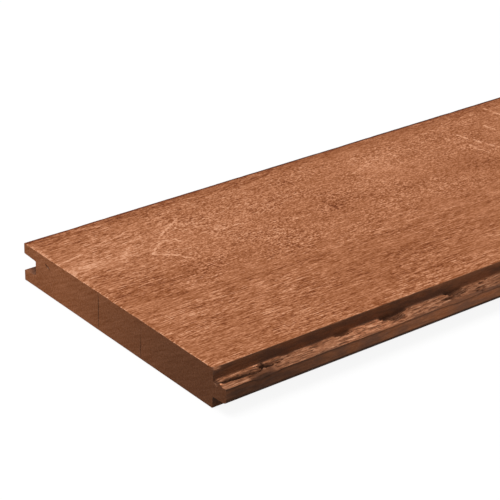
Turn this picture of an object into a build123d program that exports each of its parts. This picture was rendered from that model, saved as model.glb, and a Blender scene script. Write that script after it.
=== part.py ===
"""Hardwood sheet pile plank: one sawn and planed board with a tongue along one edge and a groove along the other.

Millimetres. +X runs along the plank, +Y from the tongue edge to the groove edge, +Z up through the thickness.
The origin is the middle of the plank's footprint, on its bottom face.
"""

import os
from math import radians, tan

from build123d import *

# The board
length = 1500.0
thickness = 25.0
cover_width = 188.0

# The tongue, centred in the thickness
tongue_depth = 12.0
tongue_root_height = 10.4
flank_taper_deg = 2.75

# The groove, made to take the next plank's tongue
flank_clearance = 0.4
tip_clearance = 0.5

# Edges left by the cutters
arris_radius = 0.4
tongue_tip_radius = 2.0
tongue_root_radius = 0.5
groove_mouth_radius = 0.5
groove_corner_radius = 0.8

# Places across the plank
overall_width = cover_width + tongue_depth
groove_edge = overall_width / 2
shoulder = groove_edge - cover_width
tongue_tip = shoulder - tongue_depth
groove_depth = tongue_depth + tip_clearance
groove_floor = groove_edge - groove_depth

# Half heights of the profile, measured from the middle of the thickness
flank_slope = tan(radians(flank_taper_deg))
face_half = thickness / 2
root_half = tongue_root_height / 2
tip_half = root_half - tongue_depth * flank_slope
mouth_half = root_half + flank_clearance
floor_half = mouth_half - groove_depth * flank_slope

# How near a corner has to lie to the place that is asked for
same_place = 0.001


def corner_pair(section, across, half_height):
    """The two corners of the section at one place across the plank, above and below its middle."""
    return [
        corner
        for corner in section.vertices()
        if abs(corner.X - across) < same_place and abs(abs(corner.Y) - half_height) < same_place
    ]


# The plank: its section is drawn at one sawn end, round the middle of the thickness, and runs to the other end
sawn_end = Plane(origin=(-length / 2, 0, face_half), x_dir=(0, 1, 0), z_dir=(1, 0, 0))

with BuildPart() as plank:
    with BuildSketch(sawn_end) as section:
        with BuildLine():
            Polyline(
                (tongue_tip, 0),
                (tongue_tip, tip_half),
                (shoulder, root_half),
                (shoulder, face_half),
                (groove_edge, face_half),
                (groove_edge, mouth_half),
                (groove_floor, floor_half),
                (groove_floor, 0),
            )
            mirror(about=Plane.XZ)
        make_face()
        fillet(corner_pair(section, tongue_tip, tip_half), tongue_tip_radius)
        fillet(corner_pair(section, shoulder, root_half), tongue_root_radius)
        fillet(corner_pair(section, shoulder, face_half), arris_radius)
        fillet(corner_pair(section, groove_edge, face_half), arris_radius)
        fillet(corner_pair(section, groove_edge, mouth_half), groove_mouth_radius)
        fillet(corner_pair(section, groove_floor, floor_half), groove_corner_radius)
    extrude(amount=length)

plank.part.label = "plank"

os.makedirs("parts", exist_ok=True)
export_step(plank.part, "parts/plank.step")
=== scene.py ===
import bpy
import numpy as np
from mathutils import Matrix, Vector
from mathutils.geometry import delaunay_2d_cdt


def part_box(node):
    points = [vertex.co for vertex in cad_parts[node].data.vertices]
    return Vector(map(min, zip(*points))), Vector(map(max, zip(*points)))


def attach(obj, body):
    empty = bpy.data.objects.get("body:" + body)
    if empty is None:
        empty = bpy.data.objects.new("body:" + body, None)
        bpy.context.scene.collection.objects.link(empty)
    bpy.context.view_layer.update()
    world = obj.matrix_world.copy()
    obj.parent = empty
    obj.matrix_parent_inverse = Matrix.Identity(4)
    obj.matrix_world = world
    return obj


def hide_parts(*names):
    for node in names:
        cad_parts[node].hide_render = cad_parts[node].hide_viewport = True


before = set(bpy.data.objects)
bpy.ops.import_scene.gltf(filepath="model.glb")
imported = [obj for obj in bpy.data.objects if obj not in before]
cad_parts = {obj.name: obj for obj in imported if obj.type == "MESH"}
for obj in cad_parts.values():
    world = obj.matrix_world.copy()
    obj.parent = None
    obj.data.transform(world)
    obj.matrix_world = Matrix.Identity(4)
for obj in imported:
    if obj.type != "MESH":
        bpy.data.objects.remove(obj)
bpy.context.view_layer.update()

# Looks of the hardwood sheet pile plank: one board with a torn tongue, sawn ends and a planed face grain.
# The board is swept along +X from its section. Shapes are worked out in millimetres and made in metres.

MM = 0.001
SEED = 20

# The board, from the plank part's bounds in model.glb
low, high = (np.array(corner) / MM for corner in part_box("plank"))
LENGTH = high[0] - low[0]
NEAR_END = low[0]
THICKNESS = high[2]
MIDDLE = THICKNESS / 2
TONGUE_TIP = low[1]
GROOVE_EDGE = high[1]

# The section, as in the part's source
TONGUE_DEPTH = 12.0
TONGUE_ROOT_HALF = 5.2
FLANK_SLOPE = np.tan(np.radians(2.75))
FLANK_CLEARANCE = 0.4
GROOVE_DEPTH = 12.5
ARRIS_RADIUS = 0.4
TIP_RADIUS = 2.0
ROOT_RADIUS = 0.5
MOUTH_RADIUS = 0.5
GROOVE_CORNER_RADIUS = 0.8
SHOULDER = TONGUE_TIP + TONGUE_DEPTH
TIP_HALF = TONGUE_ROOT_HALF - TONGUE_DEPTH * FLANK_SLOPE
MOUTH_HALF = TONGUE_ROOT_HALF + FLANK_CLEARANCE
FLOOR_HALF = MOUTH_HALF - GROOVE_DEPTH * FLANK_SLOPE
GROOVE_FLOOR = GROOVE_EDGE - GROOVE_DEPTH

# The section's corners in order round the board, each with its radius and the name of the stretch after it
CORNERS = [
    (GROOVE_EDGE, 0.0, ARRIS_RADIUS, "low_lip"),
    (GROOVE_EDGE, MIDDLE - MOUTH_HALF, MOUTH_RADIUS, "groove"),
    (GROOVE_FLOOR, MIDDLE - FLOOR_HALF, GROOVE_CORNER_RADIUS, "groove"),
    (GROOVE_FLOOR, MIDDLE + FLOOR_HALF, GROOVE_CORNER_RADIUS, "groove"),
    (GROOVE_EDGE, MIDDLE + MOUTH_HALF, MOUTH_RADIUS, "high_lip"),
    (GROOVE_EDGE, THICKNESS, ARRIS_RADIUS, "top"),
    (SHOULDER, THICKNESS, ARRIS_RADIUS, "shoulder"),
    (SHOULDER, MIDDLE + TONGUE_ROOT_HALF, ROOT_RADIUS, "tongue_top"),
    (TONGUE_TIP, MIDDLE + TIP_HALF, TIP_RADIUS, "tongue_front"),
    (TONGUE_TIP, MIDDLE - TIP_HALF, TIP_RADIUS, "tongue_under"),
    (SHOULDER, MIDDLE - TONGUE_ROOT_HALF, ROOT_RADIUS, "low_shoulder"),
    (SHOULDER, 0.0, ARRIS_RADIUS, "bottom"),
]

# Distance between points round the section, for the sawn ends, the torn stretch and the plain stretch
END_SPACING = {"top": 1.5, "bottom": 3.0, "tongue_top": 0.5, "other": 1.0}
TORN_SPACING = {
    "top": 6.0, "bottom": 14.0, "tongue_top": 0.4, "shoulder": 1.2, "tongue_front": 0.8, "other": 2.5,
}
PLAIN_SPACING = {"top": 8.0, "bottom": 16.0, "tongue_top": 1.5, "other": 2.5}
ARC_STEPS = 3

# Places along the board, from the near end: fine steps at the sawn ends, close steps where the tongue is torn
END_STEPS = np.array([0.0, 0.35, 0.9, 1.7, 2.8, 4.2, 6.0])
CLOSE_UNTIL = 240.0
CLOSE_STEP = 0.9
TORN_UNTIL = 440.0
TORN_STEP = 1.7
PLAIN_STEP = 7.0

# The torn top of the tongue lies a little under the planed flank, in broad and thin slivers with fibres
TORN_DROP = 0.10
SLIVER_DEPTH = 0.55
SLIVER_WIDTH = 0.85
THIN_SLIVER_DEPTH = 0.30
THIN_SLIVER_WIDTH = 0.5
FIBRE_DEPTH = 0.15

# Near the end the slivers are less broken: by how much, how far along, and how much further along the ridge
# at the root, which ends between two places out
WHOLE_SHARE = 0.75
WHOLE_UNTIL = 12.0
WHOLE_RIDGE = 16.0
WHOLE_RIDGE_OUT = (2.4, 3.6)

# Tear-outs: how ragged their edges are, how far their ends are staggered from sliver to sliver as a share of
# their length, how deep one must be to be quite dark, how far down that starts, and how far from the sawn end
TEAR_RAGGED = 0.9
LANE_SHIFT = 0.15
DARK_DEPTH = 4.6
DARK_FROM = 1.2
CLEAN_END = 0.9

# The radius left at the torn tip, how far the tip is chipped, and where along the board the tear fades out
TORN_TIP_RADIUS = 0.3
TIP_CHIP = 0.6
TORN_FADE = (255.0, 420.0)

# A stretch where the torn flank is worn smooth and painted dark as shade: where it starts and ends along the
# board, with the length over which it blends in, how far out it begins, and its painted shade
WORN_ALONG = (18.0, 34.0, 4.0)
WORN_OUT = (5.4, 1.4)
WORN_SHADE = 0.44

# A tuft of pale fibres that stands up at the tongue's near end, with a painted highlight: place along and
# out, half sizes, height and how much paler it is
TUFT = (0.4, 6.3, 1.3, 0.8, 0.8, 1.6)

# Tear-outs of the tongue: start and end along the board, place out from the shoulder, half width, depth,
# lean of their line, and how far along they are deepest
TEAR_OUTS = [
    (-6.0, 18.0, 8.8, 0.5, 0.5, 0.00, 0.50),
    (-5.0, 4.2, 1.9, 2.7, 2.4, 0.00, 0.50),
    (-1.0, 28.0, 4.8, 2.1, 5.0, 0.03, 0.42),
    (28.0, 50.0, 2.1, 1.2, 2.8, -0.05, 0.35),
    (17.0, 38.0, 9.8, 5.0, 1.5, -0.02, 0.25),
    (29.5, 39.0, 3.1, 2.7, 5.6, 0.00, 0.50),
    (36.0, 56.0, 2.6, 0.8, 1.6, 0.02, 0.35),
    (47.0, 59.0, 0.7, 2.0, 1.1, 0.00, 0.40),
    (60.0, 92.0, 0.4, 2.8, 0.7, 0.02, 0.50),
    (86.0, 99.5, 1.2, 2.5, 2.2, 0.00, 0.50),
    (121.0, 135.0, 2.6, 4.0, 3.4, 0.10, 0.35),
    (126.0, 143.0, 0.8, 2.2, 2.6, 0.00, 0.30),
    (125.0, 138.0, 6.9, 0.8, 1.6, 0.02, 0.40),
    (164.0, 190.0, 11.6, 2.6, 0.6, 0.00, 0.20),
    (163.0, 176.0, 5.2, 1.1, 2.8, 0.00, 0.50),
    (172.5, 188.0, 1.8, 4.2, 2.8, 0.02, 0.25),
    (186.0, 216.0, 10.9, 2.4, 0.5, 0.02, 0.40),
    (222.0, 240.0, 1.2, 2.4, 1.8, 0.03, 0.30),
    (238.0, 276.0, 9.6, 2.8, 1.8, -0.03, 0.60),
    (262.0, 304.0, 3.6, 1.6, 2.4, 0.03, 0.30),
    (326.0, 352.0, 9.9, 2.4, 2.0, 0.02, 0.50),
    (338.0, 350.0, 1.0, 2.0, 2.0, 0.00, 0.40),
    (366.0, 398.0, 5.2, 1.8, 2.2, -0.03, 0.30),
]

# The tongue's root is broken at the near end and painted dark there as shade: how far along and out, and how
# much darker it is
BROKEN_ROOT = (2.2, 3.6, 0.62)

# Painted light on a thin ridge along the root: where it starts and ends, how far out it reaches there, and
# how much paler it is
PALE_RIDGE = (22.0, 49.0, 1.9, 0.7, 0.80)

# The tip has painted shade as dark as the front's, along a ragged line: how far out it begins at places along
# the board, how far that line wanders, its share of the front's painted shade, and where along the board it
# fades out
SHADED_TIP_FROM = (
    [0.0, 16.0, 20.0, 30.0, 34.0, 155.0, 170.0, 200.0, 215.0],
    [10.2, 10.2, 9.2, 9.2, 10.1, 10.1, 8.7, 8.7, 10.1],
)
SHADED_TIP_WANDER = 1.2
SHADED_TIP_SHARE = 0.45
SHADED_TIP_FADE = (250.0, 310.0)

# Small nicks between the slivers
NICK_COUNT = 80
NICKS_FROM = 36.0
NICKS_UNTIL = 400.0

# The corners of the top face at the tongue are rubbed round, and at the near end the rubbed wood reaches down
# the shoulder: where it starts and ends along the board, how far down it goes and how far in, and the painted
# shade it keeps there, far less than the rest of the shoulder's
RUBBED_RADIUS = 4.0
RUBBED_PATCH = (0.9, 4.6, 2.2, 0.7)
RUBBED_SHADE = 0.95

# Drying checks in the near end: place of their lowest point from the groove edge, lowest and highest point,
# width, depth, and how far they lean towards the groove on their way up
END_CHECKS = [
    (79.0, 1.2, 23.9, 0.50, 2.2, 0.0),
    (121.0, 1.2, 14.5, 0.45, 1.6, 0.0),
    (121.2, 15.2, 23.6, 0.28, 0.5, 0.0),
    (27.4, 17.9, 20.3, 3.20, 0.9, 3.8),
]

# Rows of points in a check, the plain margin beside it, and the depth from which it is full of dust and
# painted shade
CHECK_ROWS = 22
CHECK_MARGIN = 0.3
DUST_AND_SHADE_DEPTH = 0.9

# Distance between the points of a plain sawn end, across and up
END_GRID = (6.0, 5.5)

# Edges that turn by more than this are sharp
SHARP_FROM = np.radians(38.0)

# The planed faces wave a little, always inwards
TOP_WAVE = 0.16
BOTTOM_WAVE = 0.10

# Arrises of the top face that are chipped along the grain: the way inwards, and the size of the chips. They
# are fine chips, and bites where their noise is over a limit.
ARRIS_CHIPS = [("top|shoulder", 1.0, 0.6), ("high_lip|top", -1.0, 0.2)]
FINE_CHIP = 0.35
BITE = 0.9
BITE_FROM = 0.72

# The top edge of a sawn end is frayed: how far in, how deep its fibres and chips are, and the limit of the
# noise that chips begin at
FRAYED_REACH = 2.4
FRAYED_FIBRE = 0.5
FRAYED_CHIP = 0.9
FRAYED_CHIP_FROM = 0.62

rng = np.random.default_rng(SEED)


def smoothstep(value):
    """Eases a value that runs from 0 to 1."""
    value = np.clip(value, 0.0, 1.0)
    return value * value * (3.0 - 2.0 * value)


def eased(value, start, end):
    """Goes smoothly from 0 at the start to 1 at the end, whichever of them is the larger."""
    return smoothstep((value - start) / (end - start))


class Lattice:
    """Smooth seeded noise from 0 to 1 over a plane, with its own cell size along and across."""

    SIZE = 256

    def __init__(self, cell_along, cell_across):
        self.cell_along = cell_along
        self.cell_across = cell_across
        self.values = rng.random((self.SIZE, self.SIZE))

    def __call__(self, along, across):
        a = np.asarray(along, float) / self.cell_along
        b = np.asarray(across, float) / self.cell_across
        i = np.floor(a).astype(int)
        j = np.floor(b).astype(int)
        fa = smoothstep(a - i)
        fb = smoothstep(b - j)
        i0, i1 = i % self.SIZE, (i + 1) % self.SIZE
        j0, j1 = j % self.SIZE, (j + 1) % self.SIZE
        v = self.values
        near = v[i0, j0] * (1 - fb) + v[i0, j1] * fb
        far = v[i1, j0] * (1 - fb) + v[i1, j1] * fb
        return near * (1 - fa) + far * fa


class Splinters:
    """Long slivers side by side, each broken into pieces of different depth. Depths are from 0 to 1."""

    SIZE = 128

    def __init__(self, width, shortest, longest):
        self.width = width
        self.wander = Lattice(45.0, 4.0)
        self.length = rng.uniform(shortest, longest, self.SIZE)
        self.phase = rng.uniform(0.0, self.SIZE, self.SIZE)
        self.shift = rng.uniform(-1.0, 1.0, self.SIZE)
        self.level = rng.random((self.SIZE, self.SIZE))

    def lane(self, along, out):
        """Number of the sliver at each place."""
        return np.floor(out / self.width + 1.6 * self.wander(along, out)).astype(int) % self.SIZE

    def depth(self, along, out):
        """Depth of the broken pieces: each falls away from one end to the other."""
        lane = self.lane(along, out)
        place = along / self.length[lane] + self.phase[lane]
        piece = np.floor(place).astype(int)
        share = place - piece
        start = self.level[lane, piece % self.SIZE] ** 1.6
        end = self.level[lane, (piece * 7 + 3) % self.SIZE] ** 1.6
        return start + (end - start) * 0.7 * share


# The outline of the section


def rounded_corner(before, corner, after, radius):
    """Points of the arc that rounds one corner."""
    to_before = (before - corner) / np.linalg.norm(before - corner)
    to_after = (after - corner) / np.linalg.norm(after - corner)
    half_angle = np.arccos(np.clip(to_before @ to_after, -1, 1)) / 2
    bisector = (to_before + to_after) / np.linalg.norm(to_before + to_after)
    centre = corner + bisector * radius / np.sin(half_angle)
    reach = radius / np.tan(half_angle)
    start = corner + to_before * reach - centre
    end = corner + to_after * reach - centre
    turn = np.arccos(np.clip(start @ end / radius**2, -1, 1))
    share = np.linspace(0, 1, ARC_STEPS + 1)[:, None]
    return centre + (start * np.sin((1 - share) * turn) + end * np.sin(share * turn)) / np.sin(turn)


def section_ring(spacing):
    """The section's points in order, with each point's stretch and its place round the outline."""
    places = np.array([corner[:2] for corner in CORNERS])
    count = len(CORNERS)
    arcs = [
        rounded_corner(places[k - 1], places[k], places[(k + 1) % count], CORNERS[k][2])
        for k in range(count)
    ]
    points, stretches = [], []
    for k, arc in enumerate(arcs):
        name = CORNERS[k][3]
        points.extend(arc)
        stretches.extend([CORNERS[k - 1][3] + "|" + name] * len(arc))
        start, end = arc[-1], arcs[(k + 1) % count][0]
        steps = max(1, round(np.linalg.norm(end - start) / spacing.get(name, spacing["other"])))
        for step in range(1, steps):
            points.append(start + (end - start) * step / steps)
            stretches.append(name)
    points = np.array(points)
    gaps = np.linalg.norm(np.roll(points, -1, axis=0) - points, axis=1)
    round_at = np.concatenate([[0.0], np.cumsum(gaps)[:-1]])
    return points, np.array(stretches), round_at, gaps.sum()


# The shape of each surface

slivers = Splinters(SLIVER_WIDTH, 8.0, 30.0)
thin_slivers = Splinters(THIN_SLIVER_WIDTH, 4.0, 12.0)
tear_edge = Lattice(6.0, 1.0)
torn_fibre = Lattice(4.0, 0.5)
tip_wander = Lattice(14.0, 50.0)
face_wave = Lattice(55.0, 22.0)
arris_chip = Lattice(4.5, 50.0)
arris_bite = Lattice(17.0, 50.0)
end_fibre = Lattice(50.0, 1.1)
end_chip = Lattice(50.0, 4.0)


def small_nicks():
    """Seeded short tears, listed like the tear-outs."""
    made = []
    for start in rng.uniform(NICKS_FROM, NICKS_UNTIL, NICK_COUNT):
        end = start + rng.uniform(3.0, 8.0)
        place = rng.uniform(1.0, 10.5)
        half_width = rng.uniform(0.35, 0.6)
        depth = rng.uniform(0.7, 1.6)
        made.append((start, end, place, half_width, depth, 0.02, 0.4))
    return made


ALL_TEARS = TEAR_OUTS + small_nicks()


def worn_share(along, out):
    """How much of the worn stretch shows at a place on the torn flank."""
    start, end, blend = WORN_ALONG
    out_from, out_blend = WORN_OUT
    along_share = eased(along, start, start + blend) * eased(along, end + blend, end)
    return along_share * eased(out, out_from, out_from + out_blend)


def tuft_share(along, out):
    """How much of the tuft shows at a place on the torn flank."""
    tuft_along, tuft_out, half_length, half_width = TUFT[:4]
    return np.exp(-(((along - tuft_along) / half_length) ** 2) - ((out - tuft_out) / half_width) ** 2)


def tear_outs(along, out):
    """How deep the tear-outs are at each place, and how dark, from 0 to 1."""
    ragged = out + TEAR_RAGGED * (tear_edge(along, out) - 0.5)
    stagger = LANE_SHIFT * slivers.shift[slivers.lane(along, out)]
    deepest = np.zeros_like(along)
    darkest = np.zeros_like(along)
    for start, end, place, half_width, depth, lean, peak in ALL_TEARS:
        share = np.clip((along - start) / (end - start) + stagger, 0.0, 1.0)
        spindle = np.minimum(share / peak, (1.0 - share) / (1.0 - peak)) ** 0.5
        line = place + lean * (along - (start + end) / 2)
        across = (ragged - line) / (half_width * (0.3 + 0.7 * spindle))
        here = depth * spindle * np.clip(1.0 - across**2, 0.0, 1.0) ** 0.6
        deepest = np.maximum(deepest, here)
        darkest = np.maximum(darkest, min(1.0, depth / DARK_DEPTH) * np.clip(here / DARK_FROM, 0.0, 1.0))
    return deepest, darkest


def tear_depth(along, out):
    """How far the torn surface lies under the planed one, and how dark its hollows are, from 0 to 1."""
    deepest, darkest = tear_outs(along, out)
    split = SLIVER_DEPTH * slivers.depth(along, out) + THIN_SLIVER_DEPTH * thin_slivers.depth(along, out)
    split = split * (1.0 - 0.8 * worn_share(along, out))
    whole_until = WHOLE_UNTIL + WHOLE_RIDGE * (1.0 - eased(out, *WHOLE_RIDGE_OUT))
    broken = 1.0 - WHOLE_SHARE * eased(along, whole_until + 10.0, whole_until)
    off_root_and_tip = eased(out, 0.2, 1.0) * (1.0 - 0.8 * eased(out, 9.2, 11.6))
    rough = off_root_and_tip * broken * (split + FIBRE_DEPTH * torn_fibre(along, out))
    depth = TORN_DROP + rough + deepest * (0.7 + 0.6 * split)
    tuft = tuft_share(along, out)
    depth = depth + tuft * (-TUFT[4] - depth)
    return depth, darkest * (1.0 - tuft) * eased(along, 0.0, CLEAN_END)


# Where the flat part of the tongue's front starts and ends, and how low a tear may go
FRONT_LOW = MIDDLE - TIP_HALF + TIP_RADIUS
FRONT_HIGH = MIDDLE + TIP_HALF - TIP_RADIUS
LOWEST_TEAR = FRONT_LOW + 0.8

# Painted light and shade at places along the board from the near end: painted shade on the tongue's front,
# lighter at the end and further along, and on the shoulder; the torn top's tone; and on the groove painted
# light at the end and painted shade further in
FRONT_SHADE = (
    [0.0, 2.5, 7.0, 40.0, 60.0, 100.0, 140.0, 160.0],
    [0.50, 0.47, 0.37, 0.445, 0.66, 0.91, 1.13, 1.22],
)
TORN_SHADE = (
    [0.0, 18.0, 36.0, 60.0, 82.0, 100.0, 120.0, 140.0, 165.0, 186.0],
    [1.05, 1.0, 0.88, 1.04, 1.10, 1.36, 1.36, 1.0, 1.0, 0.84],
)
SHOULDER_SHADE = ([0.0, 120.0, 180.0], [0.52, 0.54, 0.61])
GROOVE_SHADE = ([0.0, 3.0, 5.5], [1.10, 1.04, 0.55])

# Painted light on the torn top towards its root, by how much and how far out, and painted shade right at it
ROOT_LIFT = (0.45, 4.0)
ROOT_DARK = (0.2, 0.9)

# Painted shade on the other surfaces that the cutters left: the lips, and darker under the tongue
CUT_SHADE = {
    "low_lip": 0.70,
    "high_lip": 0.70,
    "tongue_front|tongue_under": 0.16,
    "tongue_under": 0.40,
    "tongue_under|low_shoulder": 0.34,
    "low_shoulder": 0.34,
    "low_shoulder|bottom": 0.34,
}


class Ring:
    """Points round the board at one place along it, and what the wood is like at each of them."""

    def __init__(self, along, points, stretches):
        self.along = float(along)
        self.from_end = min(self.along, LENGTH - self.along)
        self.u = np.full(len(points), self.along)
        self.x = NEAR_END + self.u
        self.y = points[:, 0].copy()
        self.z = points[:, 1].copy()
        self.marks = {}
        self.stretches = stretches
        self.out = np.clip(SHOULDER - self.y, 0.0, TONGUE_DEPTH)
        self.on_flank = self.at("tongue_top", "shoulder|tongue_top", "tongue_top|tongue_front")
        self.on_front = self.at("tongue_front")
        self.at_tip = self.at("tongue_top|tongue_front")
        self.to_front = np.linspace(0.0, 1.0, self.at_tip.sum())
        self.torn_share = 1.0 - eased(self.along, *TORN_FADE)
        self.depth, self.hollow = tear_depth(self.u, self.out)

    def at(self, *names):
        """Which points lie on the named stretches."""
        return np.isin(self.stretches, names)


def tear_tongue(ring):
    """Drops the tongue's flank to the tear, and shortens its front to meet it."""
    share, tip = ring.torn_share, ring.at_tip
    planed = MIDDLE + TONGUE_ROOT_HALF - FLANK_SLOPE * ring.out
    torn_top = np.maximum(planed - ring.depth, LOWEST_TEAR)
    dropped = ring.z + torn_top - planed
    turn = ring.to_front * np.pi / 2
    dropped[tip] = torn_top[tip][-1] - TORN_TIP_RADIUS * (1.0 - np.cos(turn))
    ring.y[tip] += share * (TONGUE_TIP + TORN_TIP_RADIUS * (1.0 - np.sin(turn)) - ring.y[tip])
    ring.z += ring.on_flank * (dropped - ring.z) * share
    tip_height = ring.z[tip][-1]
    shortened = (tip_height - FRONT_LOW) / (FRONT_HIGH - FRONT_LOW)
    ring.z = np.where(ring.on_front, FRONT_LOW + (ring.z - FRONT_LOW) * shortened, ring.z)
    chipped = TIP_CHIP * share * tip_wander(ring.u, 0.0)
    chipped = chipped * eased(ring.z, tip_height - 2.0, tip_height) * eased(ring.out, 6.0, 12.0)
    ring.y += (ring.on_front | ring.on_flank) * chipped
    torn = ring.on_flank * share * eased(ring.out, 0.1, 0.6)
    torn[tip] *= 1.0 - ring.to_front**2
    ring.marks["torn"] = torn
    # How far dust and painted shade darken the tears' hollows
    ring.marks["hollow"] = ring.on_flank * ring.hollow * share


def flank_shade(ring, worn):
    """Tone, painted light and painted shade of the torn flank, with its worn stretch, tuft, broken root and
    pale ridge.
    """
    u, out = ring.u, ring.out
    # Painted light on the torn top towards its root
    lift, lift_out = ROOT_LIFT
    shade = np.interp(ring.along, *TORN_SHADE) * (1.0 + lift * eased(out, lift_out, 0.0))
    # Painted shade on the worn stretch
    shade += worn * (WORN_SHADE - shade)
    # The tuft is paler, partly as a painted highlight
    shade *= 1.0 + TUFT[5] * tuft_share(u, out)
    # Painted shade on the broken root at the near end
    root_along, root_out, darker = BROKEN_ROOT
    broken = eased(u, root_along + 1.2, root_along - 1.2) * eased(out, root_out + 0.6, root_out - 0.6)
    # Painted light on the thin ridge along the root
    start, end, start_out, end_out, paler = PALE_RIDGE
    ridge_out = np.interp(u, [start, end], [start_out, end_out])
    on_ridge = eased(u, start, start + 3.0) * eased(u, end, end - 3.0) * eased(ring.depth, 1.2, 0.0)
    on_ridge *= eased(out, ridge_out + 0.3, ridge_out - 0.3)
    return shade * (1.0 - darker * broken) * (1.0 + paler * on_ridge)


def shade_wood(ring):
    """Painted light and shade on each surface, and how far it takes the cutters' smooth, stained colour."""
    tip = ring.at_tip
    front_shade = np.interp(ring.along, *FRONT_SHADE)
    shoulder_shade = np.interp(ring.along, *SHOULDER_SHADE)
    worn = ring.on_flank * worn_share(ring.u, ring.out)
    ring.marks["hollow"] *= 1.0 - worn
    shade = np.where(ring.on_flank, 1.0 + ring.torn_share * (flank_shade(ring, worn) - 1.0), 1.0)
    to_front = ring.to_front**0.5
    shade[tip] += (front_shade - shade[tip]) * to_front

    # Painted shade on the tip, as dark as the front's
    wander = SHADED_TIP_WANDER * (tip_wander(2.0 * ring.u, 170.0) - 0.5)
    shaded_from = np.interp(ring.along, *SHADED_TIP_FROM) + wander
    shaded_tip = ring.on_flank * (1.0 - eased(ring.along, *SHADED_TIP_FADE))
    shaded_tip *= eased(ring.out, shaded_from - 0.4, shaded_from + 0.4)
    shade += (SHADED_TIP_SHARE * front_shade - shade) * shaded_tip
    cut_and_shaded = np.maximum(worn, shaded_tip)
    cut_and_shaded[tip] = np.maximum(cut_and_shaded[tip], to_front)

    # Painted shade on the cutters' surfaces
    groove_shade = np.interp(ring.along, *GROOVE_SHADE)
    changing = {"shoulder": shoulder_shade, "groove": groove_shade, "tongue_front": front_shade}
    for name, value in (CUT_SHADE | changing).items():
        shade = np.where(ring.at(name), value, shade)
        cut_and_shaded = np.where(ring.at(name), 1.0, cut_and_shaded)
    # Painted shade as dark as the shoulder's at the flank's root and under the top arris
    at_root = ring.on_flank * (1.0 - eased(ring.out, *ROOT_DARK))
    under_arris = ring.at("top|shoulder") & (ring.z < THICKNESS - 0.05 * ARRIS_RADIUS)
    dark = np.maximum(at_root, under_arris)
    ring.marks["shade"] = shade + (shoulder_shade - shade) * dark
    ring.marks["cut_and_shaded"] = np.maximum(cut_and_shaded, dark)


def wave_faces(ring):
    """Gives the planed faces their wave."""
    ring.z -= TOP_WAVE * ring.at("top") * face_wave(ring.u, ring.y)
    ring.z += BOTTOM_WAVE * ring.at("bottom") * face_wave(ring.u + 700.0, ring.y)


def chip_arrises(ring):
    """Chips the arrises of the top face."""
    for name, side, size in ARRIS_CHIPS:
        bite = np.clip(arris_bite(ring.u, side * 20) - BITE_FROM, 0, 1) / (1.0 - BITE_FROM)
        chip = FINE_CHIP * arris_chip(ring.u, side * 10) ** 2 + BITE * bite
        chip *= ring.at(name) * size
        ring.y += 0.8 * side * chip
        ring.z -= chip


def rub_corner(ring):
    """Rounds the top face's corners at the tongue, rubs the shoulder below the near one, and lifts most of
    its painted shade there.
    """
    short = np.clip(RUBBED_RADIUS - ring.from_end, 0.0, RUBBED_RADIUS)
    inward = RUBBED_RADIUS - np.sqrt(RUBBED_RADIUS**2 - short**2)
    at_corner = ring.at("shoulder", "top|shoulder", "top") * eased(ring.z, THICKNESS - 4.0, THICKNESS)
    at_corner *= eased(ring.y, SHOULDER + 8.0, SHOULDER)
    ring.y += 0.8 * inward * at_corner
    start, end, down, rubbed_in = RUBBED_PATCH
    rubbed = eased(ring.u, start - 0.6, start + 0.6) * eased(ring.u, end + 0.6, end - 0.6)
    rubbed *= ring.at("shoulder", "top|shoulder")
    up = np.clip((ring.z - THICKNESS + down) / down, 0.0, 1.0)
    ring.y += rubbed_in * rubbed * up
    rubbed *= eased(up, 0.0, 0.35)
    # The shoulder's painted shade is mostly lifted on the rubbed patch
    ring.marks["shade"] += (RUBBED_SHADE - ring.marks["shade"]) * rubbed
    ring.marks["cut_and_shaded"] *= 1.0 - 0.8 * rubbed


def fray_end(ring):
    """Breaks the fibres along the top edge of the sawn ends."""
    at_far_end = ring.along > LENGTH / 2
    which = 40.0 * at_far_end
    chip = np.clip(end_chip(which, ring.y) - FRAYED_CHIP_FROM, 0, 1)
    frayed = FRAYED_FIBRE * end_fibre(which, ring.y) + FRAYED_CHIP * chip
    frayed *= ring.at("top", "top|shoulder") * eased(ring.from_end, FRAYED_REACH, 0.0)
    ring.z -= frayed
    ring.x += 0.5 * frayed * (-1.0 if at_far_end else 1.0)


def shaped(along, points, stretches):
    """Places of one ring of points at a distance along the board, and what the wood there is like."""
    ring = Ring(along, points, stretches)
    for step in (tear_tongue, shade_wood, wave_faces, chip_arrises, rub_corner, fray_end):
        step(ring)
    return np.stack([ring.x, ring.y, ring.z], axis=1), ring.marks


# The mesh


def placed(name, data):
    """A new object in the scene."""
    made = bpy.data.objects.new(name, data)
    bpy.context.scene.collection.objects.link(made)
    return made


# What the wood is like at each point: how torn, how dusty and shaded in its hollows, how far it takes the
# cutters' stained colour, which painted shade uses too, and its painted light and shade
MARKS = ("torn", "hollow", "cut_and_shaded", "shade")


class Board:
    """Vertices, faces, texture places and marks of the board as it is put together."""

    def __init__(self):
        self.places = []
        self.marks = {name: [] for name in MARKS}
        self.map_at = []
        self.faces = []
        self.count = 0

    def add(self, places, marks, map_at):
        first = self.count
        self.places.append(places)
        for name, values in marks.items():
            self.marks[name].append(values)
        self.map_at.append(map_at)
        self.count += len(places)
        return first + np.arange(len(places))


# Texture map: the board's length runs along U, its outline along V, and the two ends lie in a strip on top
MAP_MARGIN = 0.004
MAP_ENDS_FROM = 0.925
MAP_ALONG = ([0.0, TORN_UNTIL, LENGTH], [MAP_MARGIN, 0.44, 1.0 - MAP_MARGIN])


def map_side(along, round_share):
    """Place of a point of the long sides on the texture map."""
    u = np.interp(along, *MAP_ALONG)
    v = MAP_MARGIN + round_share * (MAP_ENDS_FROM - 3 * MAP_MARGIN)
    return np.stack([np.broadcast_to(u, np.shape(round_share)), v], axis=-1)


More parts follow.
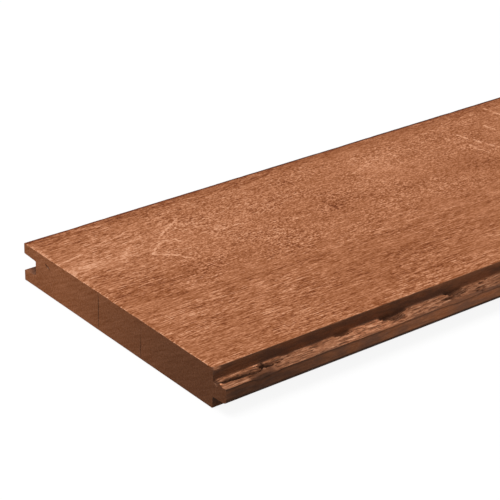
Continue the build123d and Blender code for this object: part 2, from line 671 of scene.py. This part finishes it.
def map_end(y, z, which):
    """Place of a point of a sawn end on the texture map."""
    u = MAP_MARGIN + 0.5 * which + (y - TONGUE_TIP) / (GROOVE_EDGE - TONGUE_TIP) * (0.5 - 2 * MAP_MARGIN)
    v = MAP_ENDS_FROM + z / THICKNESS * (1.0 - MAP_ENDS_FROM - MAP_MARGIN)
    return np.stack([u, v], axis=-1)


def add_zone(board, columns, spacing):
    """Rings of points at places along the board, joined by quads. Returns the first and the last ring."""
    points, stretches, round_at, around = section_ring(spacing)
    count = len(points)
    round_share = round_at / around
    rings = []
    for along in columns:
        places, marks = shaped(along, points, stretches)
        rings.append(board.add(places, marks, np.stack([np.full(count, along), round_share], axis=1)))
    for ring, following in zip(rings, rings[1:]):
        for k in range(count):
            m = (k + 1) % count
            board.faces.append((ring[k], following[k], following[m], ring[m]))
    return (rings[0], round_share), (rings[-1], round_share)


def join_rings(board, first, second):
    """Triangles between two rings that have different numbers of points."""
    (a, a_at), (b, b_at) = first, second
    a_next = np.append(a_at[1:], 1.0)
    b_next = np.append(b_at[1:], 1.0)
    i = j = 0
    while i < len(a) or j < len(b):
        take_a = j == len(b) or (i < len(a) and a_next[i] <= b_next[j])
        at_a, at_b = a[i % len(a)], b[j % len(b)]
        if take_a:
            board.faces.append((at_a, at_b, a[(i + 1) % len(a)]))
            i += 1
        else:
            board.faces.append((at_a, at_b, b[(j + 1) % len(b)]))
            j += 1


def check_points(check):
    """Points in and beside a drying check: place across and up, how far in, and how dusty and shaded from 0
    to 1.
    """
    from_groove, lowest, highest, width, depth, lean = check
    shares = np.linspace(0.0, 1.0, CHECK_ROWS)
    heights = lowest + (highest - lowest) * shares
    middles = GROOVE_EDGE - from_groove + lean * shares + 0.5 * (end_chip(heights * 9.0, from_groove) - 0.5)
    open_shares = np.sqrt(np.clip(np.sin(np.pi * shares), 0.0, 1.0))
    dust_and_shade = min(1.0, depth / DUST_AND_SHADE_DEPTH)
    points = []
    for middle, height, share in zip(middles, heights, open_shares):
        half = 0.5 * width * max(share, 0.15)
        points.append((middle, height, depth * share, dust_and_shade))
        for side in (-1.0, 1.0):
            points.append((middle + side * half, height, 0.0, 0.6 * dust_and_shade))
            points.append((middle + side * (half + CHECK_MARGIN), height, 0.0, 0.0))
    points.append((middles[0], lowest - CHECK_MARGIN, 0.0, 0.0))
    points.append((middles[-1], highest + CHECK_MARGIN, 0.0, 0.0))
    return points


def add_end(board, ring, which):
    """Closes a sawn end with triangles, with its drying checks cut in."""
    edge = np.concatenate(board.places)[ring]
    inner = []
    for check in END_CHECKS if which == 0 else []:
        inner.extend(check_points(check))
    for y in np.arange(GROOVE_EDGE - 16.0, SHOULDER, -END_GRID[0]):
        if any(-1.5 < y - GROOVE_EDGE + check[0] < check[5] + 1.5 for check in END_CHECKS):
            continue
        inner.extend((y, z, 0.0, 0.0) for z in np.arange(4.0, THICKNESS - 3.0, END_GRID[1]))
    inner = np.array(inner)
    y, z, depth, dust_and_shade = inner.T
    flat = [Vector(place) for place in np.concatenate([edge[:, 1:], inner[:, :2]])]
    rim = [(k, (k + 1) % len(ring)) for k in range(len(ring))]
    made, _, triangles, origins, _, _ = delaunay_2d_cdt(flat, rim, [list(range(len(ring)))], 1, 1e-7)
    x = NEAR_END + depth if which == 0 else NEAR_END + LENGTH - depth
    places = np.stack([x, y, z], axis=1)
    plain = np.zeros(len(inner))
    marks = {"torn": plain, "hollow": dust_and_shade, "cut_and_shaded": plain, "shade": plain + 1.0}
    new = board.add(places, marks, np.zeros((len(inner), 2)))
    known = list(ring) + list(new)
    lookup = [known[sources[0]] for sources in origins]
    faces = []
    for triangle in triangles:
        corners = [lookup[k] for k in triangle]
        across = [made[k] for k in triangle]
        turn = (across[1] - across[0]).cross(across[2] - across[0])
        faces.append(corners if (turn > 0) == (which == 1) else corners[::-1])
    return faces


def lay_map(mesh, places, map_at, sides_until, near_end_until):
    """Lays the texture map on the mesh, whose faces are the sides, then the near end, then the far end."""
    layer = mesh.uv_layers.new(name="OFBake")
    coords = np.zeros((len(mesh.loops), 2), np.float32)
    for number, polygon in enumerate(mesh.polygons):
        loops = list(polygon.loop_indices)
        at = np.array(polygon.vertices)
        if number < sides_until:
            around = map_at[at, 1].copy()
            if around.max() - around.min() > 0.5:
                around[around < 0.5] += 1.0
            coords[loops] = map_side(map_at[at, 0], around)
        else:
            which = 0 if number < near_end_until else 1
            coords[loops] = map_end(places[at, 1], places[at, 2], which)
    layer.data.foreach_set("uv", coords.ravel())


def build_board():
    """Puts the board together and returns it as a mesh object."""
    board = Board()
    close = np.arange(END_STEPS[-1] + 1.0, CLOSE_UNTIL, CLOSE_STEP)
    torn = np.arange(CLOSE_UNTIL, TORN_UNTIL, TORN_STEP)
    plain = np.arange(TORN_UNTIL + 3.0, LENGTH - END_STEPS[-1] - 2.0, PLAIN_STEP)
    zones = [
        (END_STEPS, END_SPACING),
        (np.concatenate([close, torn]), TORN_SPACING),
        (plain, PLAIN_SPACING),
        (LENGTH - END_STEPS[::-1], END_SPACING),
    ]
    ends = [add_zone(board, columns, spacing) for columns, spacing in zones]
    for (_, last), (first, _) in zip(ends, ends[1:]):
        join_rings(board, last, first)
    side_faces = len(board.faces)
    near_faces = add_end(board, ends[0][0][0], 0)
    far_faces = add_end(board, ends[-1][1][0], 1)

    places = np.concatenate(board.places)
    faces = [tuple(int(k) for k in face) for face in board.faces + near_faces + far_faces]
    mesh = bpy.data.meshes.new("plank_board")
    mesh.from_pydata((places * MM).tolist(), [], faces)
    for name, values in board.marks.items():
        layer = mesh.attributes.new(name, "FLOAT", "POINT")
        layer.data.foreach_set("value", np.concatenate(values).astype(np.float32))

    lay_map(mesh, places, np.concatenate(board.map_at), side_faces, side_faces + len(near_faces))
    mesh.shade_smooth()
    mesh.set_sharp_from_angle(angle=SHARP_FROM)
    mesh.validate()
    return placed("plank_board", mesh)


# Materials


def linear(red, green, blue):
    """A colour given in ordinary 0 to 255 screen values, as the shader wants it."""
    screen = np.array([red, green, blue]) / 255.0
    made = np.where(screen <= 0.04045, screen / 12.92, ((screen + 0.055) / 1.055) ** 2.4)
    return (*made, 1.0)


def grey(level):
    """A grey as the shader wants it."""
    return (level, level, level, 1.0)


class Recipe:
    """Short ways of adding nodes to the emptied tree of a material or a world."""

    def __init__(self, owner):
        owner.use_nodes = True
        self.tree = owner.node_tree
        self.tree.nodes.clear()

    def node(self, kind, inputs=(), **settings):
        """A new node with its settings. Its inputs are given in order, or by name or number."""
        made = self.tree.nodes.new(kind)
        for name, value in settings.items():
            setattr(made, name, value)
        if not isinstance(inputs, dict):
            inputs = dict(enumerate(inputs))
        for name, value in inputs.items():
            if isinstance(value, bpy.types.NodeSocket):
                self.tree.links.new(value, made.inputs[name])
            elif value is not None:
                made.inputs[name].default_value = value
        return made

    def math(self, operation, *inputs, clamp=False):
        return self.node("ShaderNodeMath", inputs, operation=operation, use_clamp=clamp).outputs[0]

    def vector(self, operation, first, second=None, output=0):
        inputs = {0: first, "Scale" if operation == "SCALE" else 1: second}
        return self.node("ShaderNodeVectorMath", inputs, operation=operation).outputs[output]

    def joined(self, x, y, z):
        return self.node("ShaderNodeCombineXYZ", (x, y, z)).outputs[0]

    def noise(self, vector, detail=2.0, rough=0.5):
        inputs = {"Vector": vector, "Scale": 1.0, "Detail": detail, "Roughness": rough}
        return self.node("ShaderNodeTexNoise", inputs, noise_dimensions="3D").outputs["Fac"]

    def cells(self, vector):
        """Distance from the middle of each cell, and a tone from 0 to 1 that is even within it."""
        inputs = {"Vector": vector, "Scale": 1.0}
        made = self.node("ShaderNodeTexVoronoi", inputs, voronoi_dimensions="3D", feature="F1").outputs
        return made["Distance"], self.node("ShaderNodeSeparateColor", [made["Color"]]).outputs[0]

    def times(self, first, *others):
        """Product of values."""
        for value in others:
            first = self.math("MULTIPLY", first, value)
        return first

    def plus(self, base, value, weight):
        """The base with a weighted value added."""
        return self.math("MULTIPLY_ADD", value, weight, base)

    def hill(self, value, middle, half_width):
        """A soft hill, 1 where a value is at the middle."""
        off = self.plus(-middle / half_width, value, 1.0 / half_width)
        return self.math("POWER", np.exp(-1.0), self.times(off, off))

    def dashes(self, vector, widest, share):
        """Separate short dashes: 1 in a dash and 0 between, in a share of the cells."""
        distance, tone = self.cells(vector)
        near = self.span(distance, widest, widest * 0.45)
        return self.times(near, self.math("LESS_THAN", tone, share))

    def span(self, value, start, end, low=0.0, high=1.0):
        """Goes smoothly from the low to the high number as a value goes from start to end."""
        inputs = (value, start, end, low, high)
        return self.node("ShaderNodeMapRange", inputs, interpolation_type="SMOOTHSTEP").outputs[0]

    def ramp(self, value, stops):
        made = self.node("ShaderNodeValToRGB", [value])
        points = made.color_ramp.elements
        while len(points) < len(stops):
            points.new(0.5)
        for point, (place, colour) in zip(points, stops):
            point.position = place
            point.color = colour
        return made.outputs[0]

    def mix(self, share, first, second, blend="MIX"):
        inputs = {0: share, 6: first, 7: second}
        return self.node("ShaderNodeMix", inputs, data_type="RGBA", blend_type=blend).outputs[2]

    def blend(self, share, first, second):
        """A number between two numbers."""
        return self.node("ShaderNodeMix", {0: share, 2: first, 3: second}, data_type="FLOAT").outputs[0]

    def lean(self, value, weight, base):
        """The base, raised or lowered by how far a value from 0 to 1 lies from its middle."""
        return self.math("ADD", base, self.plus(-weight / 2, value, weight))

    def curve(self, value, points, unit_in, unit_out):
        """A smooth curve through points."""
        made = self.node("ShaderNodeFloatCurve", {"Value": value})
        line = made.mapping.curves[0]
        while len(line.points) < len(points):
            line.points.new(0.5, 0.5)
        for point, (place, height) in zip(line.points, points):
            point.location = (place / unit_in, height / unit_out)
        made.mapping.update()
        return self.times(made.outputs[0], unit_out)

    def attribute(self, name):
        return self.node("ShaderNodeAttribute", attribute_name=name).outputs["Fac"]


# The heart of the tree runs over the top face: its place across, and its height over the face along the
# board. Growth rings lie round it, so they cross the face as nested arches where it comes nearer.
HEART_ACROSS = 42.0
HEART_HEIGHTS = [(0.0, 75.0), (250.0, 31.0), (430.0, 33.0), (800.0, 58.0), (1150.0, 42.0), (1500.0, 55.0)]
HEART_HEIGHT_UNIT = 100.0

# Soft patches of the top face: place along and across, half sizes, and how much paler or darker they are
PATCHES = [
    # A pale strip along the near end's top edge, partly a painted highlight
    (0.7, 84.0, 1.2, 22.0, 0.24),
    (12.0, 50.5, 30.0, 5.5, 0.24),
    (90.0, 54.0, 90.0, 28.0, 0.10),
    (30.0, 7.0, 60.0, 8.0, -0.10),
    (185.0, -43.0, 80.0, 8.0, -0.10),
    (160.0, -62.0, 60.0, 22.0, -0.09),
    (60.0, -66.0, 50.0, 14.0, -0.035),
    (3.0, -84.0, 8.0, 4.0, 0.10),
    (190.0, 29.0, 7.0, 10.0, -0.18),
    (250.0, 62.0, 20.0, 24.0, 0.12),
    (308.0, 25.0, 20.0, 11.0, -0.14),
]

# Pale and dark growth lines of the top face: half width, how much paler or darker they are, and their points
# as places along the board and from the groove edge
GROWTH_LINES = [
    (1.1, 0.34, [(1.0, 35.5), (8.0, 35.2), (15.0, 34.0), (20.5, 32.6)]),
    (1.1, 0.34, [(25.0, 32.2), (31.0, 31.4)]),
    (0.7, 0.20, [(36.0, 31.0), (44.0, 28.2), (61.0, 22.8)]),
    (2.6, 0.16, [(33.0, 54.0), (43.0, 46.0), (52.0, 37.0), (62.0, 34.0)]),
    (1.1, 0.30, [(70.0, 42.2), (82.0, 34.4), (95.5, 26.8)]),
    (1.2, 0.40, [(54.5, 57.6), (63.5, 65.2), (70.5, 75.5)]),
    (1.2, 0.32, [(54.5, 57.6), (57.0, 55.4), (63.5, 49.4), (70.0, 47.6), (78.0, 48.6)]),
    (1.0, 0.30, [(77.0, 48.0), (79.0, 54.0)]),
    (1.2, 0.24, [(110.0, 55.4), (118.0, 53.8), (124.5, 56.2)]),
    (1.2, 0.24, [(142.0, 40.0), (146.0, 32.0), (155.0, 24.4)]),
    (1.1, 0.22, [(150.0, 71.0), (155.0, 69.2), (166.0, 70.0)]),
    (1.5, 0.36, [(330.8, 33.0), (333.6, 43.0), (336.1, 52.0), (340.2, 63.5)]),
    (1.5, 0.32, [(326.0, 50.0), (327.0, 60.0), (328.0, 70.0)]),
    (1.4, 0.26, [(320.0, 33.0), (321.5, 41.0)]),
    (1.5, 0.32, [(358.0, 31.0), (359.0, 45.0)]),
    (1.5, 0.30, [(380.0, 9.0), (381.7, 24.0)]),
    (1.4, -0.22, [(186.0, 61.0), (187.0, 74.0)]),
    (0.9, -0.16, [(186.0, 19.0), (187.0, 30.0)]),
    (1.2, -0.16, [(214.0, 38.0), (213.0, 45.0), (218.0, 51.0)]),
    (1.0, -0.18, [(229.0, 57.0), (240.0, 64.0), (245.0, 78.0)]),
    (1.0, -0.20, [(170.0, 7.5), (183.0, 8.6)]),
]

# All of them together are made this much stronger
LINE_GAIN = 1.5

# Beyond the drawn lines, and on the underside, the growth rings show more: where this comes in
FIGURE_FROM = (400.0, 540.0)

# A dark growth ring on the tongue side of the heart: its distance from the heart, half width and strength
DARK_RING = (71.2, 2.6, -0.12)

# Colours of the wood from its darkest to its palest
WOOD_STOPS = [
    (0.00, linear(106, 49, 20)),
    (0.18, linear(131, 70, 34)),
    (0.36, linear(152, 90, 52)),
    (0.50, linear(167, 104, 67)),
    (0.64, linear(182, 117, 80)),
    (0.82, linear(205, 140, 102)),
    (1.00, linear(226, 166, 130)),
]
TORN_STOPS = [
    (0.00, linear(66, 36, 20)),
    (0.25, linear(108, 67, 44)),
    (0.50, linear(146, 93, 63)),
    (0.75, linear(170, 114, 82)),
    (1.00, linear(198, 145, 112)),
]
# The cutters' stain, which also gives painted shade its greyer colour, dust and painted shade in hollows, and
# the painted shade on the arris at the groove
STAIN_AND_SHADE = linear(104, 74, 60)
DUST_AND_SHADE = linear(62, 36, 23)
GROOVE_ARRIS_SHADE = linear(42, 22, 13)

# Painted shade darkens the arris at the groove, more so further from the near end: where across the board it
# comes in, and where along the board it goes from its least to its most
GROOVE_ARRIS_SHADE_ACROSS = (GROOVE_EDGE - 1.8, GROOVE_EDGE - 0.7)
GROOVE_ARRIS_SHADE_ALONG = (40.0, 240.0, 0.10, 0.80)

# Painted shade on the sawn ends across the board, from the tongue to the groove: darkest at the tongue
END_SHADES = [(0.0, 0.42), (0.25, 0.50), (0.56, 0.78), (0.80, 1.05), (1.0, 1.04)]

# Fibres of the planed faces: cells per millimetre along and across, and how much their tones differ
LONG_FIBRES = (0.055, 1.25, 0.32)
SHORT_FIBRES = (0.24, 1.35, 0.38)
SPECKS = (0.68, 1.25, 0.62)

# The grain as relief, how rough its low and its high fibres are, and how little the wood shines
BUMP_STRENGTH = 0.20
BUMP_DEPTH = 0.35
ROUGHNESS = (0.80, 0.66)
GLOSS = 0.12


class Wood:
    """Places in the wood, as sockets of one node tree, in millimetres."""

    def __init__(self, make):
        where = make.node("ShaderNodeTexCoord").outputs["Object"]
        self.make = make
        self.place = make.vector("SCALE", where, 1.0 / MM)
        x, self.y, self.z = make.node("ShaderNodeSeparateXYZ", [self.place]).outputs
        self.along = make.math("SUBTRACT", x, NEAR_END)
        self.wave = make.noise(self.stretched(0.010, 0.030))
        ripple = make.noise(self.stretched(0.05, 0.13), detail=1.0)
        self.beside = make.math("SUBTRACT", self.y, HEART_ACROSS)
        height = make.curve(make.math("DIVIDE", self.along, LENGTH), HEART_HEIGHTS, LENGTH, HEART_HEIGHT_UNIT)
        over = make.math("ADD", height, make.math("SUBTRACT", THICKNESS, self.z))
        square = make.plus(make.times(self.beside, self.beside), over, over)
        self.ring = make.lean(ripple, 2.4, make.lean(self.wave, 7.0, make.math("SQRT", square)))

    def stretched(self, along, across):
        """Coordinates for a texture that is drawn out along the board."""
        return self.make.vector("MULTIPLY", self.place, (along, across, across))

    def ringed(self, along, across, ring):
        """Coordinates for a texture that is drawn out along the growth rings."""
        where = self.make.joined(self.along, self.y, self.ring)
        return self.make.vector("MULTIPLY", where, (along, across, ring))


def patch_tone(wood):
    """Sum of the soft patches and the dark ring of the top face."""
    make = wood.make
    ragged_y = make.lean(wood.wave, 7.0, wood.y)
    total = 0.0
    for along, across, half_length, half_width, strength in PATCHES:
        patch = make.times(make.hill(wood.along, along, half_length), make.hill(ragged_y, across, half_width))
        total = make.plus(total, patch, strength)
    place, half_width, strength = DARK_RING
    dark = make.times(
        make.hill(wood.ring, place, half_width),
        make.span(wood.beside, -14.0, -30.0),
        make.span(wood.along, 340.0, 240.0),
    )
    return make.times(make.plus(total, dark, strength), make.span(wood.z, 6.0, 20.0))


def growth_lines(wood):
    """Sum of the pale and dark growth lines of the top face."""
    make = wood.make
    shiver = make.noise(wood.stretched(0.16, 0.16))
    here = make.joined(make.lean(shiver, 3.0, wood.along), make.lean(shiver, 3.0, wood.y), 0.0)
    total = 0.0
    for half_width, strength, points in GROWTH_LINES:
        places = [Vector((along, GROOVE_EDGE - from_groove, 0.0)) for along, from_groove in points]
        nearest = None
        for start, end in zip(places, places[1:]):
            line = end - start
            from_start = make.vector("SUBTRACT", here, start)
            along_line = make.vector("DOT_PRODUCT", from_start, line, "Value")
            share = make.math("MULTIPLY", along_line, 1.0 / line.length_squared, clamp=True)
            beside = make.vector("SUBTRACT", from_start, make.vector("SCALE", line, share))
            gap = make.vector("LENGTH", beside, output="Value")
            nearest = gap if nearest is None else make.math("MINIMUM", nearest, gap)
        drawn = make.span(nearest, half_width, 0.2 * half_width, 0.0, LINE_GAIN * strength)
        total = make.math("ADD", total, drawn)
    gaps = make.span(make.noise(wood.stretched(0.30, 0.30)), 0.38, 0.58, 0.25, 1.0)
    return make.times(total, gaps, make.span(wood.z, 12.0, 22.0))


def face_tone(wood, fine, pores, flecks, bands):
    """How pale or dark the planed faces are, from 0 to 1."""
    make = wood.make
    lines = make.noise(wood.ringed(0.02, 0.03, 0.60), detail=1.0)
    mottle = make.noise(wood.stretched(0.05, 0.09))
    tone = make.math("ADD", 0.5, make.math("ADD", patch_tone(wood), growth_lines(wood)))
    for value, weight in ((bands, 0.20), (lines, 0.16), (mottle, 0.14), (fine, 1.0)):
        tone = make.lean(value, weight, tone)
    figure = make.lean(bands, 0.30, make.lean(lines, 0.24, 0.0))
    figured = make.math("MAXIMUM", make.span(wood.along, *FIGURE_FROM), make.span(wood.z, MIDDLE, 1.0))

    # Pores and flecks, pale frayed fibres with a painted highlight along the sawn ends' top edges, and
    # painted shade that darkens towards the groove edge and most in a line along it
    from_end = make.math("MINIMUM", wood.along, make.math("SUBTRACT", LENGTH, wood.along))
    frayed = make.noise(wood.stretched(0.0, 0.5), detail=3.0, rough=0.7)
    reach = make.plus(from_end, make.span(frayed, 0.42, 0.70), -2.2)
    changes = [
        (figure, figured),
        (pores, -0.10),
        (flecks, 0.10),
        (make.span(reach, 0.4, -0.7), 0.42),
        (make.span(wood.y, GROOVE_EDGE - 16.0, GROOVE_EDGE), -0.20),
        (make.span(wood.y, GROOVE_EDGE - 2.6, GROOVE_EDGE - 0.8), -0.66),
    ]
    for value, weight in changes:
        tone = make.plus(tone, value, weight)
    return tone


def fibres(wood, kind, shift):
    """Crisp light and dark fibres of one kind, as a change of tone."""
    make = wood.make
    along, across, weight = kind
    tone = make.noise(make.vector("ADD", wood.stretched(along, across), shift), detail=1.0)
    return make.lean(make.span(tone, 0.34, 0.66), weight, 0.0)


def fine_grain(wood):
    """Fibres drawn out along the board, and specks over the heart, stronger in some places than in others."""
    make = wood.make
    over_heart = make.span(make.math("ABSOLUTE", wood.beside), 62.0, 30.0)
    over_heart = make.times(over_heart, make.span(wood.along, 20.0, 100.0), 0.85)
    lines = fibres(wood, LONG_FIBRES, (0.0, 0.0, 0.0))
    dashes = fibres(wood, SHORT_FIBRES, (3.1, 8.4, 1.7))
    specks = fibres(wood, SPECKS, (6.2, 1.9, 4.4))
    drawn_out = make.math("ADD", lines, dashes)
    speckled = make.plus(specks, drawn_out, 0.45)
    drawn_out = make.plus(drawn_out, specks, 0.40)
    strength = make.noise(wood.stretched(0.030, 0.05), detail=1.0)
    fine = make.blend(over_heart, drawn_out, speckled)
    fine = make.times(fine, make.span(wood.along, 130.0, 260.0, 1.0, 0.82))
    return make.plus(0.5, fine, make.span(strength, 0.36, 0.62, 0.82, 1.18))


def end_colour(wood, bands):
    """Sawn end grain: specks, slanting saw marks, and painted shade that deepens towards the tongue."""
    make = wood.make
    specks = make.noise(wood.stretched(0.4, 0.9), rough=0.6)
    along_mark = make.plus(make.times(wood.z, 0.026), wood.y, -0.045)
    over_mark = make.plus(make.times(wood.z, 0.52), wood.y, 0.30)
    marks = make.noise(make.joined(along_mark, over_mark, 0.0), detail=3.0, rough=0.7)
    tone = 0.46
    for value, weight in ((specks, 0.80), (marks, 0.60), (bands, 0.25)):
        tone = make.lean(value, weight, tone)
    across = make.math("DIVIDE", make.math("SUBTRACT", wood.y, TONGUE_TIP), GROOVE_EDGE - TONGUE_TIP)
    shade = make.ramp(across, [(place, grey(level)) for place, level in END_SHADES])
    return make.mix(1.0, make.ramp(tone, WOOD_STOPS), shade, "MULTIPLY")


def hardwood():
    """Reddish brown hardwood: planed faces, cutters' faces with painted shade, sawn ends and torn fibres."""
    material = bpy.data.materials.new("hardwood")
    make = Recipe(material)
    wood = Wood(make)
    torn, hollow, cut_and_shaded, shade = (make.attribute(name) for name in MARKS)

    bands = make.noise(wood.ringed(0.004, 0.010, 0.13), detail=3.0, rough=0.6)
    pores = make.dashes(wood.stretched(0.26, 0.80), 0.42, 0.4)
    flecks = make.dashes(make.vector("ADD", wood.stretched(0.26, 0.84), (5.3, 2.1, 7.7)), 0.40, 0.35)
    fine = fine_grain(wood)
    face = make.ramp(face_tone(wood, fine, pores, flecks, bands), WOOD_STOPS)
    # Painted shade along the arris at the groove
    arris_shade = make.times(make.span(wood.y, *GROOVE_ARRIS_SHADE_ACROSS), make.span(wood.along, *GROOVE_ARRIS_SHADE_ALONG))
    face = make.mix(arris_shade, face, GROOVE_ARRIS_SHADE)

    # Torn fibres lie in short streaks
    _, broken = make.cells(wood.stretched(0.17, 1.3))
    fuzz = make.noise(wood.stretched(0.25, 1.2), rough=0.6)
    torn_colour = make.ramp(make.lean(broken, 0.62, make.lean(fuzz, 1.5, 0.52)), TORN_STOPS)
    colour = make.mix(torn, face, torn_colour)

    # The cutters' surfaces are smoother and stained, in blots drawn out along the board; the same colour
    # gives the painted shade elsewhere its greyer look
    smooth = make.ramp(make.lean(fine, 0.25, make.lean(bands, 0.4, 0.5)), WOOD_STOPS)
    blots = make.span(make.noise(wood.stretched(0.055, 0.20), detail=3.0, rough=0.6), 0.36, 0.66, 0.18, 0.72)
    colour = make.mix(cut_and_shaded, colour, make.mix(blots, smooth, STAIN_AND_SHADE))
    # Painted light and shade multiply the colour
    colour = make.mix(1.0, colour, make.joined(shade, shade, shade), "MULTIPLY")

    normal = make.node("ShaderNodeNewGeometry").outputs["True Normal"]
    along_board = make.node("ShaderNodeSeparateXYZ", [normal]).outputs[0]
    sawn = make.span(make.math("ABSOLUTE", along_board), 0.55, 0.8)
    colour = make.mix(sawn, colour, end_colour(wood, bands))
    # Dust and painted shade darken the hollows of the tears and checks
    colour = make.mix(make.times(hollow, 0.92), colour, DUST_AND_SHADE)

    height = make.plus(fine, pores, -0.6)
    relief = {"Strength": BUMP_STRENGTH, "Distance": BUMP_DEPTH * MM, "Height": height}
    surface = {
        "Base Color": colour,
        "Roughness": make.span(fine, 0.2, 0.8, *ROUGHNESS),
        "Normal": make.node("ShaderNodeBump", relief).outputs[0],
        "Specular IOR Level": GLOSS,
    }
    shader = make.node("ShaderNodeBsdfPrincipled", surface)
    make.node("ShaderNodeOutputMaterial", {"Surface": shader.outputs[0]})
    return material


# Stage, light and camera

# The floor, in metres: its half size, how far it lies under the board, how brightly it glows, and how much of
# the light it gives back where it is seen and to the board
FLOOR_HALF_SIZE = 60.0
FLOOR_DROP = 0.0003
FLOOR_GLOW = 0.90
FLOOR_SHADED = 0.12
FLOOR_BOUNCE = 0.40

# The sky and the light overhead, and the side that the light comes from
SKY_LEVEL = 0.46
SUN_LEVEL = 1.78
SUN_SPREAD = np.radians(38.0)
SUN_FROM = Vector((-0.20, 0.12, 0.97))

# The camera as fitted to the photograph: place in metres, axes, and lens and sensor in millimetres
CAMERA_PLACE = Vector((-1.31801, -0.81650, 0.55787))
CAMERA_RIGHT = Vector((0.78313, -0.62145, 0.02262))
CAMERA_DOWN = Vector((-0.26183, -0.36251, -0.89445))
CAMERA_FORWARD = Vector((0.56405, 0.69454, -0.44660))
CAMERA_LENS = 142.13
SENSOR_WIDTH = 36.0


def shown_or_lighting(make, shown, lighting, kind):
    """Uses one shader for the rays that show the background and another for those that light the board."""
    path = make.node("ShaderNodeLightPath").outputs
    seen = make.math("MAXIMUM", path["Is Camera Ray"], path["Is Glossy Ray"])
    seen = make.math("MAXIMUM", seen, path["Is Transmission Ray"])
    choice = make.node("ShaderNodeMixShader", (seen, lighting.outputs[0], shown.outputs[0]))
    make.node(kind, {"Surface": choice.outputs[0]})


def build_floor():
    """A pale floor under the board, which looks white and throws back little light."""
    half = FLOOR_HALF_SIZE
    corners = [(x, y, -FLOOR_DROP) for x, y in ((-half, -half), (half, -half), (half, half), (-half, half))]
    mesh = bpy.data.meshes.new("floor")
    mesh.from_pydata(corners, [], [(0, 1, 2, 3)])
    material = bpy.data.materials.new("floor")
    make = Recipe(material)
    glow = make.node("ShaderNodeEmission", {"Strength": FLOOR_GLOW})
    shaded = make.node("ShaderNodeBsdfDiffuse", {"Color": grey(FLOOR_SHADED)})
    shown = make.node("ShaderNodeAddShader", (glow.outputs[0], shaded.outputs[0]))
    bounced = make.node("ShaderNodeBsdfDiffuse", {"Color": grey(FLOOR_BOUNCE)})
    shown_or_lighting(make, shown, bounced, "ShaderNodeOutputMaterial")
    mesh.materials.append(material)
    floor = placed("floor", mesh)


def build_light():
    """Soft light from overhead, a little from the groove side and the near end, and an even sky."""
    lamp = bpy.data.lights.new("overhead", "SUN")
    lamp.energy = SUN_LEVEL
    lamp.angle = SUN_SPREAD
    sun = placed("overhead", lamp)
    sun.rotation_mode = "QUATERNION"
    sun.rotation_quaternion = SUN_FROM.to_track_quat("Z", "Y")
    world = bpy.data.worlds.new("studio")
    bpy.context.scene.world = world
    make = Recipe(world)
    sky = make.node("ShaderNodeBackground", {"Color": grey(1.0), "Strength": SKY_LEVEL})
    backdrop = make.node("ShaderNodeBackground", {"Color": grey(1.0)})
    shown_or_lighting(make, backdrop, sky, "ShaderNodeOutputWorld")


def build_camera():
    """The photograph's viewpoint."""
    lens = bpy.data.cameras.new("camera")
    lens.sensor_width = SENSOR_WIDTH
    lens.lens = CAMERA_LENS
    lens.clip_end = 4 * FLOOR_HALF_SIZE
    camera = placed("camera", lens)
    turn = Matrix((CAMERA_RIGHT, -CAMERA_DOWN, -CAMERA_FORWARD)).transposed()
    camera.matrix_world = Matrix.Translation(CAMERA_PLACE) @ turn.to_4x4()
    bpy.context.scene.camera = camera


plank = build_board()
plank.data.materials.append(hardwood())
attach(plank, "root")
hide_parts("plank")

build_floor()
build_light()
build_camera()
bpy.context.scene.view_settings.view_transform = "Standard"
